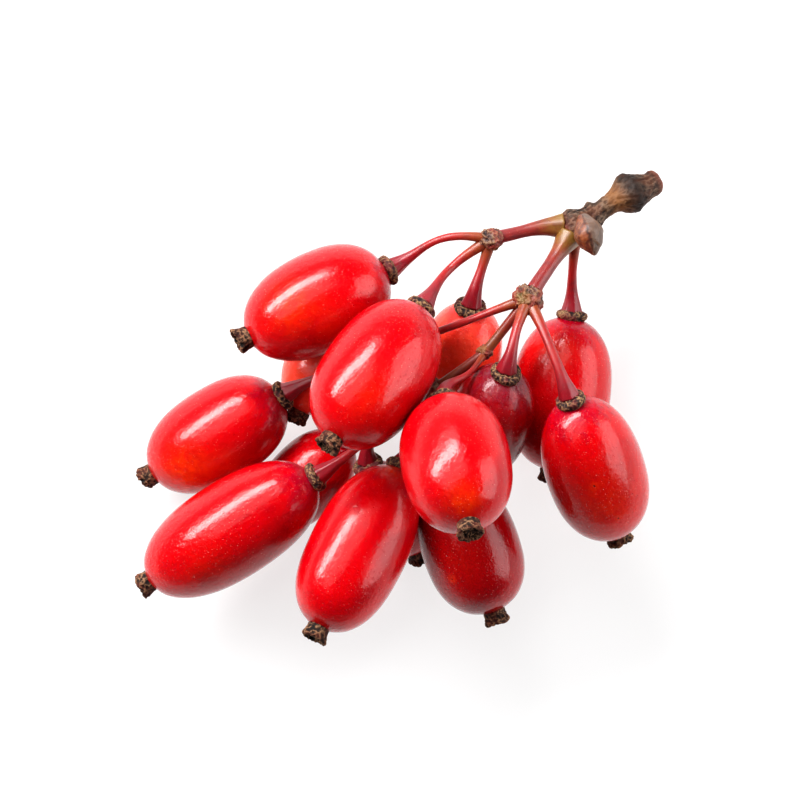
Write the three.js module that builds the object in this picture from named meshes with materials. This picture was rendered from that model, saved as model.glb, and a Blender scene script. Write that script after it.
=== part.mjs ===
// A picked bunch of barberries lying on its side.
// Lengths are millimetres, angles are degrees, +Z is up.
// The layout is drawn about the middle of the bunch seen from above. At the end the whole
// group is moved so that it stands on z = 0 with its bounding box centred on the Z axis.
import * as THREE from "three";

// Gap left between neighbouring pieces, and how deep a berry on the ground is flattened.
const gap = 0.05;
const footDepth = 0.12;

// Berries, from the lowest to the highest.
// at      middle of the body seen from above
// heading where the blossom end points, from +X towards +Y
// pitch   how far the blossom end is raised above the stem end
// skew    above zero the body is fuller towards the blossom end
const berries = [
  { id: "i", at: [10.1, 0.4], heading: 263, pitch: -8, length: 9.8, width: 6.2, skew: 0.02 },
  { id: "k", at: [3.9, 3.0], heading: 260, pitch: -42, length: 7.2, width: 5.0, skew: 0.05 },
  { id: "l", at: [-4.6, 2.7], heading: 243, pitch: 0, length: 7.8, width: 4.8, skew: 0.0 },
  { id: "m", at: [-5.9, -5.0], heading: 226, pitch: -6, length: 7.4, width: 4.8, skew: 0.0 },
  { id: "n", at: [-0.4, -6.8], heading: 298, pitch: -32, length: 7.3, width: 3.8, skew: 0.05 },
  { id: "c", at: [-11.5, -2.2], heading: 211, pitch: -12, length: 9.75, width: 6.0, skew: -0.04 },
  { id: "j", at: [5.5, -1.3], heading: 253, pitch: -46, length: 8.7, width: 5.2, skew: 0.0 },
  { id: "g", at: [4.3, -8.9], heading: 290, pitch: -4, length: 9.0, width: 6.15, skew: 0.04 },
  { id: "d", at: [-10.4, -8.0], heading: 212, pitch: -12, length: 12.4, width: 6.1, skew: 0.0 },
  { id: "e", at: [-2.5, -9.0], heading: 243, pitch: 15, length: 11.2, width: 6.0, skew: 0.06 },
  { id: "h", at: [11.9, -4.15], heading: 291, pitch: -30, length: 10.1, width: 6.05, skew: 0.06 },
  { id: "a", at: [-5.1, 5.9], heading: 206, pitch: 11, length: 9.6, width: 6.35, skew: -0.06 },
  { id: "b", at: [-1.4, 1.6], heading: 236, pitch: 24, length: 10.3, width: 6.5, skew: 0.03 },
  { id: "f", at: [3.3, -3.7], heading: 281, pitch: 38, length: 9.2, width: 6.45, skew: 0.02 },
];
const bodySides = 18;
const bodyRows = 9;
const bodyBluntness = 2.5;
const endCut = 0.985;

// The dried blossom remnant on the far end of every berry.
const capHeight = 0.68;
const capBaseRadius = 0.58;
const capWaistRadius = 0.64;
const capRimRadius = 0.76;
const capDimple = 0.22;
const capSides = 10;

// The flared corky collar where a pedicel meets its berry: distance from the berry, radius.
const collar = [
  [1.7, 0.26],
  [1.15, 0.33],
  [0.8, 0.46],
  [0.55, 0.66],
  [0.42, 0.86],
  [0.2, 0.92],
  [0.05, 0.8],
];
const stalkSides = 8;

// Knuckles of the stalk: the middle of each, and its half sizes along the stalk and across it.
const knuckles = {
  upper: { at: [5.6, 9.9, 7.3], along: 0.78, across: 0.62, heading: 190 },
  lower: { at: [7.8, 6.2, 9.0], along: 0.98, across: 0.74, heading: 245 },
  rachis: { at: [5.2, 2.9, 8.0], along: 0.42, across: 0.36, heading: 222 },
  hidden: { at: [2.0, 0.6, 7.6], along: 0.75, across: 0.66, heading: 215 },
};
const knuckleSides = 14;

// The woody twig: middle line and radius, from its cut end to the fork at its other end.
const twig = [
  { at: [16.1, 13.7, 5.6], radius: 0.82 },
  { at: [15.4, 13.3, 5.7], radius: 0.78 },
  { at: [14.3, 12.8, 5.9], radius: 1.14 },
  { at: [13.2, 12.2, 6.1], radius: 0.62 },
  { at: [12.3, 11.6, 6.3], radius: 0.6 },
  { at: [11.6, 11.1, 6.4], radius: 0.86 },
  { at: [10.9, 10.7, 6.5], radius: 1.12 },
  { at: [10.3, 10.4, 6.5], radius: 0.92 },
  { at: [10.0, 10.25, 6.5], radius: 0.5 },
];
const fork = { at: [10.85, 10.65, 6.5], along: 1.14, across: 1.14, heading: 0 };
const twigSides = 14;
const budLength = 2.2;
const budRadius = 0.8;

// Stalks between two knuckles: [x, y, z, radius] of every point the middle line passes.
const peduncles = [
  {
    name: "peduncle_upper",
    from: fork,
    to: knuckles.upper,
    startRadius: 0.52,
    endRadius: 0.36,
    via: [
      [9.2, 10.85, 6.7, 0.42],
      [7.5, 10.35, 7.0, 0.33],
    ],
  },
  {
    name: "peduncle_lower",
    from: fork,
    to: knuckles.lower,
    startRadius: 0.52,
    endRadius: 0.42,
    via: [
      [9.9, 9.3, 7.2, 0.44],
      [8.8, 7.7, 8.3, 0.4],
    ],
  },
  {
    name: "rachis_upper",
    from: knuckles.lower,
    to: knuckles.rachis,
    startRadius: 0.3,
    endRadius: 0.28,
    via: [[6.4, 4.4, 8.3, 0.27]],
  },
  {
    name: "rachis_lower",
    from: knuckles.rachis,
    to: knuckles.hidden,
    startRadius: 0.3,
    endRadius: 0.28,
    via: [[3.7, 1.8, 7.8, 0.26]],
  },
];

// Pedicels: the knuckle each one grows from and the points it passes on the way to its berry.
const pedicels = {
  a: { from: knuckles.upper, radius: 0.23, via: [[3.8, 10.2, 7.6], [1.8, 9.8, 7.2]] },
  b: { from: knuckles.upper, radius: 0.27, via: [[4.1, 9.0, 7.1], [2.8, 7.9, 6.9]] },
  k: { from: knuckles.upper, radius: 0.27, via: [[5.1, 8.2, 6.7]] },
  i: { from: fork, radius: 0.27, via: [[10.8, 8.8, 5.6], [10.6, 7.2, 4.6]] },
  c: {
    from: knuckles.lower,
    radius: 0.24,
    via: [[5.6, 5.4, 8.8], [2.6, 4.3, 7.1], [-1.5, 2.9, 5.8], [-5.0, 1.4, 5.5]],
  },
  j: { from: knuckles.lower, radius: 0.28, via: [[7.0, 4.4, 10.3]] },
  h: { from: knuckles.lower, radius: 0.28, via: [[8.7, 4.2, 10.2], [9.4, 2.4, 10.7]] },
  f: { from: knuckles.rachis, radius: 0.15, via: [[4.7, 2.2, 9.0], [4.15, 1.25, 10.0]] },
  d: {
    from: knuckles.hidden,
    radius: 0.22,
    via: [[0.85, -0.2, 7.7], [-1.0, -1.7, 7.6], [-2.9, -3.1, 7.9]],
  },
  n: { from: knuckles.hidden, radius: 0.22, via: [[1.3, -0.3, 6.9], [-0.6, -1.6, 6.3]] },
  e: { from: knuckles.hidden, radius: 0.22, via: [[2.1, -0.8, 7.1], [1.7, -2.3, 6.4]] },
  g: { from: knuckles.hidden, radius: 0.22, via: [[2.4, -0.1, 6.4], [2.1, -1.8, 5.9]] },
  m: { from: knuckles.hidden, radius: 0.22, via: [[0.9, 0.5, 6.6], [-0.8, 0.2, 4.9]] },
  l: {
    from: knuckles.hidden,
    radius: 0.22,
    via: [[1.7, 1.6, 6.6], [0.8, 3.6, 4.6], [-0.6, 5.2, 3.2]],
  },
};

const skin = new THREE.MeshStandardMaterial({ color: 0xc4050d, roughness: 0.2, metalness: 0 });
const cork = new THREE.MeshStandardMaterial({ color: 0x4a3526, roughness: 0.9, metalness: 0 });
const stalk = new THREE.MeshStandardMaterial({ color: 0xb5382a, roughness: 0.5, metalness: 0 });
const bark = new THREE.MeshStandardMaterial({ color: 0x6b5a4c, roughness: 0.9, metalness: 0 });

const bunch = new THREE.Group();
bunch.name = "barberry_bunch";

function addMesh(name, geometry, material) {
  const mesh = new THREE.Mesh(geometry, material.clone());
  mesh.name = name;
  bunch.add(mesh);
  return mesh;
}

function axisOf(berry) {
  const heading = THREE.MathUtils.degToRad(berry.heading);
  const pitch = THREE.MathUtils.degToRad(berry.pitch);
  const level = Math.cos(pitch);
  return new THREE.Vector3(
    level * Math.cos(heading),
    level * Math.sin(heading),
    Math.sin(pitch),
  );
}

// Radius of the body at t, from -1 at the stem end to 1 at the blossom end.
function bodyRadius(berry, t) {
  const u = t - berry.skew * (1 - t * t);
  const full = 1 - Math.abs(u) ** bodyBluntness;
  return (berry.width / 2) * Math.sqrt(Math.max(full, 0));
}

// The largest balls that fit in the body along its axis, about the middle of the body.
function ballsIn(berry) {
  const axis = axisOf(berry);
  const half = berry.length / 2;
  const balls = [];
  for (let i = -10; i <= 10; i++) {
    const t = i / 10.5;
    let radius = Infinity;
    for (let s = -1; s <= 1; s += 0.02) {
      radius = Math.min(radius, Math.hypot((s - t) * half, bodyRadius(berry, s)));
    }
    balls.push({ offset: axis.clone().multiplyScalar(t * half), radius, foot: footDepth });
  }
  // One ball more for the cap and one for the collar.
  const capMiddle = endCut * half + gap + capHeight / 2;
  const capReach = Math.hypot(capRimRadius, capHeight / 2);
  balls.push({ offset: axis.clone().multiplyScalar(capMiddle), radius: capReach, foot: 0 });
  const [collarDistance, collarReach] = collar[collar.length - 2];
  const collarMiddle = -endCut * half - collarDistance;
  const collarOffset = axis.clone().multiplyScalar(collarMiddle);
  balls.push({ offset: collarOffset, radius: collarReach, foot: 0 });
  return balls;
}

// Lowers the berries one after another until each one lies on the ground or just clears
// the berries below it.
function settle() {
  const laid = [];
  for (const berry of berries) {
    const balls = ballsIn(berry);
    let height = -Infinity;
    for (const ball of balls) {
      height = Math.max(height, ball.radius - ball.offset.z - ball.foot);
      for (const below of laid) {
        for (const other of below.balls) {
          const dx = berry.at[0] + ball.offset.x - below.berry.at[0] - other.offset.x;
          const dy = berry.at[1] + ball.offset.y - below.berry.at[1] - other.offset.y;
          const reach = ball.radius + other.radius + gap;
          const rise = reach * reach - dx * dx - dy * dy;
          if (rise <= 0) {
            continue;
          }
          const top = below.berry.middle.z + other.offset.z;
          height = Math.max(height, top + Math.sqrt(rise) - ball.offset.z);
        }
      }
    }
    berry.middle = new THREE.Vector3(berry.at[0], berry.at[1], height);
    laid.push({ berry, balls });
  }
}

// Turns a solid made along +Z so that it points along the given direction.
function aim(geometry, direction, at) {
  const turn = new THREE.Quaternion();
  turn.setFromUnitVectors(new THREE.Vector3(0, 0, 1), direction);
  geometry.applyQuaternion(turn);
  geometry.translate(at.x, at.y, at.z);
  return geometry;
}

// A solid of revolution about +Z from [radius, z] points.
function turned(profile, sides) {
  const points = profile.map(([radius, z]) => new THREE.Vector2(radius, z));
  const geometry = new THREE.LatheGeometry(points, sides);
  geometry.rotateX(Math.PI / 2);
  return geometry;
}

function addBerry(berry) {
  const half = berry.length / 2;
  const steepest = Math.asin(endCut);
  const profile = [[0, -endCut * half]];
  for (let row = 0; row <= bodyRows; row++) {
    const t = Math.sin(steepest * (-1 + (2 * row) / bodyRows));
    profile.push([bodyRadius(berry, t), t * half]);
  }
  profile.push([0, endCut * half]);
  const geometry = aim(turned(profile, bodySides), axisOf(berry), berry.middle);
  // A berry on the ground is pressed flat where it would reach below the ground.
  const position = geometry.attributes.position;
  for (let i = 0; i < position.count; i++) {
    position.setZ(i, Math.max(position.getZ(i), 0));
  }
  geometry.computeVertexNormals();
  addMesh("berry_" + berry.id, geometry, skin);
}

// A point on the axis, a distance beyond the stem end (side -1) or blossom end (side 1).
function beyond(berry, side, distance) {
  const reach = (berry.length / 2) * endCut + distance;
  return axisOf(berry).multiplyScalar(side * reach).add(berry.middle);
}

function addCap(berry) {
  const profile = [
    [0, 0],
    [capBaseRadius, 0],
    [capWaistRadius, 0.35 * capHeight],
    [capRimRadius, capHeight],
    [0.7 * capRimRadius, capHeight],
    [0.4 * capRimRadius, capHeight - capDimple],
    [0, capHeight - capDimple],
  ];
  const at = beyond(berry, 1, gap);
  addMesh("cap_" + berry.id, aim(turned(profile, capSides), axisOf(berry), at), cork);
}

// A closed round bar along a curve. stations: { at: Vector3, radius, steps }, where steps
// is the number of rings up to the next station.
function bar(stations, sides) {
  const curve = new THREE.CatmullRomCurve3(
    stations.map((station) => station.at),
    false,
    "centripetal",
  );
  const rings = [];
  for (let i = 0; i < stations.length; i++) {
    const here = stations[i];
    const next = stations[Math.min(i + 1, stations.length - 1)];
    const steps = i === stations.length - 1 ? 1 : here.steps;
    for (let k = 0; k < steps; k++) {
      const share = k / steps;
      const u = (i + share) / (stations.length - 1);
      rings.push({
        at: curve.getPoint(u),
        along: curve.getTangent(u),
        radius: THREE.MathUtils.lerp(here.radius, next.radius, share),
      });
    }
  }
  const positions = [];
  let side = new THREE.Vector3(0, 0, 1).cross(rings[0].along);
  if (side.length() < 0.1) {
    side = new THREE.Vector3(1, 0, 0);
  }
  for (const ring of rings) {
    side.addScaledVector(ring.along, -side.dot(ring.along)).normalize();
    const up = new THREE.Vector3().crossVectors(ring.along, side);
    for (let k = 0; k < sides; k++) {
      const angle = (2 * Math.PI * k) / sides;
      const spot = ring.at
        .clone()
        .addScaledVector(side, ring.radius * Math.cos(angle))
        .addScaledVector(up, ring.radius * Math.sin(angle));
      positions.push(spot.x, spot.y, spot.z);
    }
  }
  const first = rings[0].at;
  const last = rings[rings.length - 1].at;
  positions.push(first.x, first.y, first.z, last.x, last.y, last.z);
  const startHub = rings.length * sides;
  const endHub = startHub + 1;
  const lastRing = (rings.length - 1) * sides;
  const faces = [];
  for (let k = 0; k < sides; k++) {
    const next = (k + 1) % sides;
    for (let row = 0; row < rings.length - 1; row++) {
      const a = row * sides + k;
      const b = row * sides + next;
      faces.push(a, b, b + sides, a, b + sides, a + sides);
    }
    faces.push(startHub, next, k);
    faces.push(endHub, lastRing + k, lastRing + next);
  }
  const geometry = new THREE.BufferGeometry();
  geometry.setAttribute("position", new THREE.Float32BufferAttribute(positions, 3));
  geometry.setIndex(faces);
  geometry.computeVertexNormals();
  return geometry;
}

function directionOf(knuckle) {
  const heading = THREE.MathUtils.degToRad(knuckle.heading);
  return new THREE.Vector3(Math.cos(heading), Math.sin(heading), 0);
}

// Where a stalk leaves a knuckle on its way to a point: its flat end just clears the knuckle.
function leaving(knuckle, towards) {
  const middle = new THREE.Vector3(...knuckle.at);
  const way = new THREE.Vector3(...towards.slice(0, 3)).sub(middle).normalize();
  const lean = way.dot(directionOf(knuckle));
  const reach = Math.hypot(knuckle.along * lean, knuckle.across * Math.sqrt(1 - lean * lean));
  return way.multiplyScalar(reach + gap).add(middle);
}

function addPedicel(berry) {
  const plan = pedicels[berry.id];
  const stations = [
    { at: leaving(plan.from, plan.via[0]), radius: plan.radius * 1.15, steps: 2 },
  ];
  for (const spot of plan.via) {
    stations.push({ at: new THREE.Vector3(...spot), radius: plan.radius, steps: 3 });
  }
  for (const [distance, radius] of collar) {
    stations.push({ at: beyond(berry, -1, distance), radius, steps: 1 });
  }
  addMesh("pedicel_" + berry.id, bar(stations, stalkSides), stalk);
}

function addKnuckle(name, knuckle) {
  const geometry = new THREE.SphereGeometry(1, knuckleSides, 8);
  geometry.scale(knuckle.across, knuckle.across, knuckle.along);
  const at = new THREE.Vector3(...knuckle.at);
  addMesh("knuckle_" + name, aim(geometry, directionOf(knuckle), at), cork);
}

function addPeduncle(plan) {
  const firstVia = plan.via[0];
  const lastVia = plan.via[plan.via.length - 1];
  const stations = [
    { at: leaving(plan.from, firstVia), radius: plan.startRadius, steps: 3 },
    ...plan.via.map(([x, y, z, radius]) => ({
      at: new THREE.Vector3(x, y, z),
      radius,
      steps: 3,
    })),
    { at: leaving(plan.to, lastVia), radius: plan.endRadius, steps: 1 },
  ];
  addMesh(plan.name, bar(stations, stalkSides), stalk);
}

function addTwig() {
  const stations = twig.map(({ at, radius }) => ({
    at: new THREE.Vector3(...at),
    radius,
    steps: 2,
  }));
  addMesh("twig", bar(stations, twigSides), bark);
}

function addBud() {
  const profile = [
    [0, 0],
    [0.55 * budRadius, 0],
    [0.95 * budRadius, 0.25 * budLength],
    [budRadius, 0.45 * budLength],
    [0.7 * budRadius, 0.74 * budLength],
    [0.24 * budRadius, 0.95 * budLength],
    [0, budLength],
  ];
  const direction = new THREE.Vector3(0.28, -0.95, 0.05).normalize();
  const at = new THREE.Vector3(11.3, 10.95, 8.2);
  addMesh("bud", aim(turned(profile, capSides), direction, at), bark);
}

settle();
for (const berry of berries) {
  addBerry(berry);
  addCap(berry);
  addPedicel(berry);
}
for (const [name, knuckle] of Object.entries(knuckles)) {
  addKnuckle(name, knuckle);
}
for (const plan of peduncles) {
  addPeduncle(plan);
}
addTwig();
addBud();

const box = new THREE.Box3().setFromObject(bunch);
const middle = box.getCenter(new THREE.Vector3());
bunch.position.set(-middle.x, -middle.y, -box.min.z);

export default bunch;
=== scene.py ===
import math

import bpy
import numpy as np
from mathutils import Matrix, Vector, noise


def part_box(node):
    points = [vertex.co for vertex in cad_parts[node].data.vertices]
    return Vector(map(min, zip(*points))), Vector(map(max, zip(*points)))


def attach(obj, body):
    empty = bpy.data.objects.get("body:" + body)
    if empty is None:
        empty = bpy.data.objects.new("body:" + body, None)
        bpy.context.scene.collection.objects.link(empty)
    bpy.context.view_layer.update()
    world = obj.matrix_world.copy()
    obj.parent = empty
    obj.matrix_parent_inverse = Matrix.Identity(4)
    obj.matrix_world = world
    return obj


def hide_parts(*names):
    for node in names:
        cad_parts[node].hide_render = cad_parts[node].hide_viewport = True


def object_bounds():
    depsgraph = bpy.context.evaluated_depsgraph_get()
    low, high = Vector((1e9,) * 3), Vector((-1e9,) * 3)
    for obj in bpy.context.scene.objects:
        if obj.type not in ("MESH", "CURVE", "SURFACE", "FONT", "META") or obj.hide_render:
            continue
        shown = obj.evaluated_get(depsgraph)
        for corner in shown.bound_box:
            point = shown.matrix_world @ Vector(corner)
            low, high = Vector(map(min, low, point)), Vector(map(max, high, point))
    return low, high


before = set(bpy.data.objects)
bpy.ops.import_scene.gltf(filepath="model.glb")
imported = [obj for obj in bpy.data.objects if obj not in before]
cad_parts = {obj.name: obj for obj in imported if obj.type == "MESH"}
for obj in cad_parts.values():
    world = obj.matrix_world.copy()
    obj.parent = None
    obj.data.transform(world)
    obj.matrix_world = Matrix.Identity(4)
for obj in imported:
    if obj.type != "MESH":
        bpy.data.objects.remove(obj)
cadLow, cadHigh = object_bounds()
mm = 0.001
upward = np.array([0.0, 0.0, 1.0])
letters = "abcdefghijklmn"
print("frame loaded:", len(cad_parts), "parts")


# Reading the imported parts

def readRings(name, startNear):
    # join the loose triangles' corners again, then walk from one end to the other, ring by ring
    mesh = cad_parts[name].data
    found = {}
    joined = []
    for vertex in mesh.vertices:
        key = tuple(round(c / mm, 4) for c in vertex.co)
        joined.append(found.setdefault(key, len(found)))
    points = np.array(list(found)) * mm
    touching = [set() for _ in points]
    for edge in mesh.edges:
        a, b = (joined[i] for i in edge.vertices)
        touching[a].add(b)
        touching[b].add(a)
    # the middle of each end touches more points than any other point does
    ends = sorted(range(len(points)), key=lambda i: len(touching[i]))[-2:]
    here = {min(ends, key=lambda i: np.linalg.norm(points[i] - startNear))}
    seen = set()
    rings = []
    while here:
        rings.append(points[sorted(here)])
        seen |= here
        here = {j for i in here for j in touching[i]} - seen
    return rings


def middleOf(name):
    low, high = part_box(name)
    return np.array((low + high) / 2)


def unit(vector):
    return vector / np.linalg.norm(vector)


def sidesOf(axis):
    # the side that lies level, and the face that looks up
    side = unit(np.cross(axis, upward))
    return side, np.cross(side, axis)


def smoothThrough(stops, count):
    # a smooth curve through the stops, with its rows shared evenly between them
    stops = np.asarray(stops, float)
    padded = np.vstack([2 * stops[0] - stops[1], stops, 2 * stops[-1] - stops[-2]])
    place = np.linspace(0, len(stops) - 1, count)
    cell = np.minimum(place.astype(int), len(stops) - 2)
    f = (place - cell)[:, None]
    a, b, c, d = (padded[cell + k] for k in range(4))
    return 0.5 * (2 * b + (c - a) * f + (2 * a - 5 * b + 4 * c - d) * f**2 + (3 * b - a - 3 * c + d) * f**3)


def evenly(curve, spacing):
    # the same curve with rows a set distance apart
    steps = np.linalg.norm(np.diff(curve[:, :3], axis=0), axis=1)
    distance = np.concatenate([[0], np.cumsum(steps)])
    count = max(int(distance[-1] / spacing), 4)
    wanted = np.linspace(0, distance[-1], count)
    columns = [np.interp(wanted, distance, curve[:, k]) for k in range(curve.shape[1])]
    return np.stack(columns, axis=1), wanted


def relaxed(curve, rounds):
    # evens out bends and changes of thickness; both ends stay where they are
    curve, _ = evenly(curve, 0.2 * mm)
    for _ in range(rounds):
        curve[1:-1] += 0.5 * ((curve[:-2] + curve[2:]) / 2 - curve[1:-1])
    return curve


# Making meshes from rows of points

def meshFromRows(name, rows, traits):
    rowCount, sideCount = rows.shape[:2]
    points = np.vstack([rows.reshape(-1, 3), rows[0].mean(0), rows[-1].mean(0)])
    startPole = rowCount * sideCount
    lastRow = startPole - sideCount
    faces = []
    for s in range(sideCount):
        t = (s + 1) % sideCount
        for r in range(0, lastRow, sideCount):
            faces.append((r + s, r + t, r + sideCount + t, r + sideCount + s))
        faces.append((startPole, t, s))
        faces.append((startPole + 1, lastRow + s, lastRow + t))
    mesh = bpy.data.meshes.new(name)
    mesh.from_pydata(points.tolist(), [], faces)
    mesh.shade_smooth()
    for title, values in traits.items():
        flat = values.reshape(startPole, -1)
        flat = np.vstack([flat, flat[:sideCount].mean(0), flat[-sideCount:].mean(0)])
        single = flat.shape[1] == 1
        layer = mesh.attributes.new(title, "FLOAT" if single else "FLOAT_VECTOR", "POINT")
        layer.data.foreach_set("value" if single else "vector", flat.ravel())
    piece = bpy.data.objects.new(name, mesh)
    bpy.context.scene.collection.objects.link(piece)
    return piece


def finishPiece(piece, material, slotName, *standsFor):
    piece.data.materials.append(material)
    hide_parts(*standsFor)
    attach(piece, "root")


def rowNormals(rows):
    around = np.roll(rows, -1, 1) - np.roll(rows, 1, 1)
    normals = np.cross(around, np.gradient(rows, axis=0))
    return normals / np.maximum(np.linalg.norm(normals, axis=2, keepdims=True), 1e-15)


def ridges(rows, perMm, octaves, seed):
    # 1 along the tops of the crinkles, falling to about -1 between them
    out = np.zeros(rows.shape[:2])
    shift = Vector((seed * 7.3, seed * 3.1, 0))
    for index in np.ndindex(out.shape):
        spot = Vector(rows[index] / mm * perMm) + shift
        total = 0
        for k in range(octaves):
            total += (1 - 3.2 * abs(noise.noise(spot * 2.03**k))) * 0.55**k
        out[index] = total / 1.4
    return out


def swell(rows, perMm, seed):
    # soft lumps between about -1 and 1
    out = np.zeros(rows.shape[:2])
    shift = Vector((0, seed * 5.7, seed * 2.9))
    for index in np.ndindex(out.shape):
        out[index] = 1.8 * noise.noise(Vector(rows[index] / mm * perMm) + shift)
    return out


def roundTurn(sideCount):
    # the angles of a ring's points, once round
    return np.linspace(0, 2 * math.pi, sideCount, endpoint=False)


def turnedRows(base, axis, profile, rowCount, sideCount):
    # rows of a turned shape from [radius, height] stops
    side, face = sidesOf(axis)
    outline = smoothThrough(profile, rowCount)
    angles = roundTurn(sideCount)
    radius = np.maximum(outline[:, 0], 0.0005 * mm)[:, None, None]
    height = outline[:, 1][:, None, None]
    spokes = np.cos(angles)[:, None] * face + np.sin(angles)[:, None] * side
    return base + radius * spokes + height * axis


def sweptRows(path, sideCount, spacing):
    # rows round a path of [x, y, z, radius]; also the straightened tube, for the grain
    rail, distance = evenly(path, spacing)
    along = np.gradient(rail[:, :3], axis=0)
    along /= np.linalg.norm(along, axis=1, keepdims=True)
    side, face = sidesOf(along[0])
    angles = roundTurn(sideCount)
    rows = np.zeros((len(rail), sideCount, 3))
    straight = np.zeros_like(rows)
    for r, (spot, way) in enumerate(zip(rail, along)):
        side = unit(side - way * np.dot(side, way))
        face = np.cross(side, way)
        spokes = np.cos(angles)[:, None] * face + np.sin(angles)[:, None] * side
        rows[r] = spot[:3] + spot[3] * spokes
        straight[r, :, 0] = np.cos(angles) * spot[3]
        straight[r, :, 1] = np.sin(angles) * spot[3]
        straight[r, :, 2] = distance[r]
    return rows, straight, distance


# Shader helpers

def feed(tree, socket, value):
    if isinstance(value, bpy.types.NodeSocket):
        tree.links.new(value, socket)
    else:
        socket.default_value = value


def maths(tree, operation, *values):
    node = tree.nodes.new("ShaderNodeMath")
    node.operation = operation
    for socket, value in zip(node.inputs, values):
        feed(tree, socket, value)
    return node.outputs[0]


def between(tree, value, low, high):
    # 0 below low, 1 above high, smooth in between
    node = tree.nodes.new("ShaderNodeMapRange")
    node.interpolation_type = "SMOOTHSTEP"
    feed(tree, node.inputs["Value"], value)
    feed(tree, node.inputs["From Min"], low)
    feed(tree, node.inputs["From Max"], high)
    return node.outputs["Result"]


def blend(tree, share, first, second):
    node = tree.nodes.new("ShaderNodeMix")
    node.data_type = "RGBA"
    feed(tree, node.inputs[0], share)
    feed(tree, node.inputs[6], first)
    feed(tree, node.inputs[7], second)
    return node.outputs[2]


def cloud(tree, vector, scale, detail=3.0, roughness=0.55):
    node = tree.nodes.new("ShaderNodeTexNoise")
    feed(tree, node.inputs["Vector"], vector)
    feed(tree, node.inputs["Scale"], scale)
    node.inputs["Detail"].default_value = detail
    node.inputs["Roughness"].default_value = roughness
    return node.outputs["Fac"]


def trait(tree, title, output="Fac"):
    node = tree.nodes.new("ShaderNodeAttribute")
    node.attribute_name = title
    return node.outputs[output]


def inMillimetres(tree, vector, stretch=(1.0, 1.0, 1.0)):
    node = tree.nodes.new("ShaderNodeVectorMath")
    node.operation = "MULTIPLY"
    feed(tree, node.inputs[0], vector)
    node.inputs[1].default_value = [1000 * s for s in stretch]
    return node.outputs[0]


def newGroup(name, inputs, outputs):
    group = bpy.data.node_groups.new(name, "ShaderNodeTree")
    for title, (kind, value) in inputs.items():
        socket = group.interface.new_socket(title, in_out="INPUT", socket_type="NodeSocket" + kind)
        if value is not None:
            socket.default_value = value
    for title, kind in outputs.items():
        group.interface.new_socket(title, in_out="OUTPUT", socket_type="NodeSocket" + kind)
    start = group.nodes.new("NodeGroupInput")
    end = group.nodes.new("NodeGroupOutput")
    return group, start.outputs, end.inputs


def useGroup(tree, group, **values):
    node = tree.nodes.new("ShaderNodeGroup")
    node.node_tree = group
    for title, value in values.items():
        feed(tree, node.inputs[title], value)
    return node.outputs


def newMaterial(name, settings):
    material = bpy.data.materials.new(name)
    material.use_nodes = True
    shader = material.node_tree.nodes["Principled BSDF"]
    for title, value in settings.items():
        shader.inputs[title].default_value = value
    return material, material.node_tree, shader.inputs


def addBump(tree, height, distance, strength=1.0):
    node = tree.nodes.new("ShaderNodeBump")
    node.inputs["Strength"].default_value = strength
    node.inputs["Distance"].default_value = distance
    tree.links.new(height, node.inputs["Height"])
    return node.outputs[0]


# Effects shared by several materials

def makeTwoTone():
    # two colours in soft patches
    group, given, made = newGroup("twoTone", {
        "Vector": ("Vector", None),
        "First": ("Color", (1, 1, 1, 1)),
        "Second": ("Color", (0, 0, 0, 1)),
        "PerMm": ("Float", 1.0),
        "Balance": ("Float", 0.5),
    }, {"Color": "Color"})
    patches = cloud(group, given["Vector"], given["PerMm"])
    softness = 0.14
    low = maths(group, "SUBTRACT", given["Balance"], softness)
    high = maths(group, "ADD", given["Balance"], softness)
    share = between(group, patches, low, high)
    feed(group, made["Color"], blend(group, share, given["First"], given["Second"]))
    return group


def makeSkinDots():
    # small round pores scattered over a skin
    group, given, made = newGroup("skinDots", {
        "Vector": ("Vector", None),
        "PerMm": ("Float", 4.0),
        "Size": ("Float", 0.2),
        "Share": ("Float", 0.5),
    }, {"Mask": "Float"})
    cells = group.nodes.new("ShaderNodeTexVoronoi")
    feed(group, cells.inputs["Vector"], given["Vector"])
    feed(group, cells.inputs["Scale"], given["PerMm"])
    inner = maths(group, "MULTIPLY", given["Size"], 0.45)
    dot = between(group, cells.outputs["Distance"], given["Size"], inner)
    chance = group.nodes.new("ShaderNodeSeparateColor")
    feed(group, chance.inputs[0], cells.outputs["Color"])
    kept = maths(group, "LESS_THAN", chance.outputs[0], given["Share"])
    shade = maths(group, "MULTIPLY_ADD", chance.outputs[1], 0.7, 0.3)
    feed(group, made["Mask"], maths(group, "MULTIPLY", maths(group, "MULTIPLY", dot, kept), shade))
    return group


def makeCorkColour():
    # dark in the cracks, brown on the slopes, pale on the ridges, warm in patches
    group, given, made = newGroup("corkColour", {
        "Vector": ("Vector", None),
        "Relief": ("Float", 0.0),
        "Crack": ("Color", (0.01, 0.006, 0.004, 1)),
        "Slope": ("Color", (0.08, 0.035, 0.015, 1)),
        "Ridge": ("Color", (0.4, 0.24, 0.11, 1)),
        "Warm": ("Color", (0.3, 0.03, 0.015, 1)),
        "WarmShare": ("Float", 0.3),
    }, {"Color": "Color", "Height": "Float"})
    grit = cloud(group, given["Vector"], 9.0, 4.0, 0.65)
    level = maths(group, "ADD", given["Relief"], maths(group, "MULTIPLY_ADD", grit, 1.6, -0.8))
    colour = blend(group, between(group, level, -0.35, 0.3), given["Crack"], given["Slope"])
    colour = blend(group, between(group, level, 0.35, 0.95), colour, given["Ridge"])
    zones = cloud(group, given["Vector"], 1.3, 2.0)
    warmth = maths(group, "MULTIPLY", between(group, zones, 0.45, 0.62), given["WarmShare"])
    feed(group, made["Color"], blend(group, warmth, colour, given["Warm"]))
    feed(group, made["Height"], grit)
    return group


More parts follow.
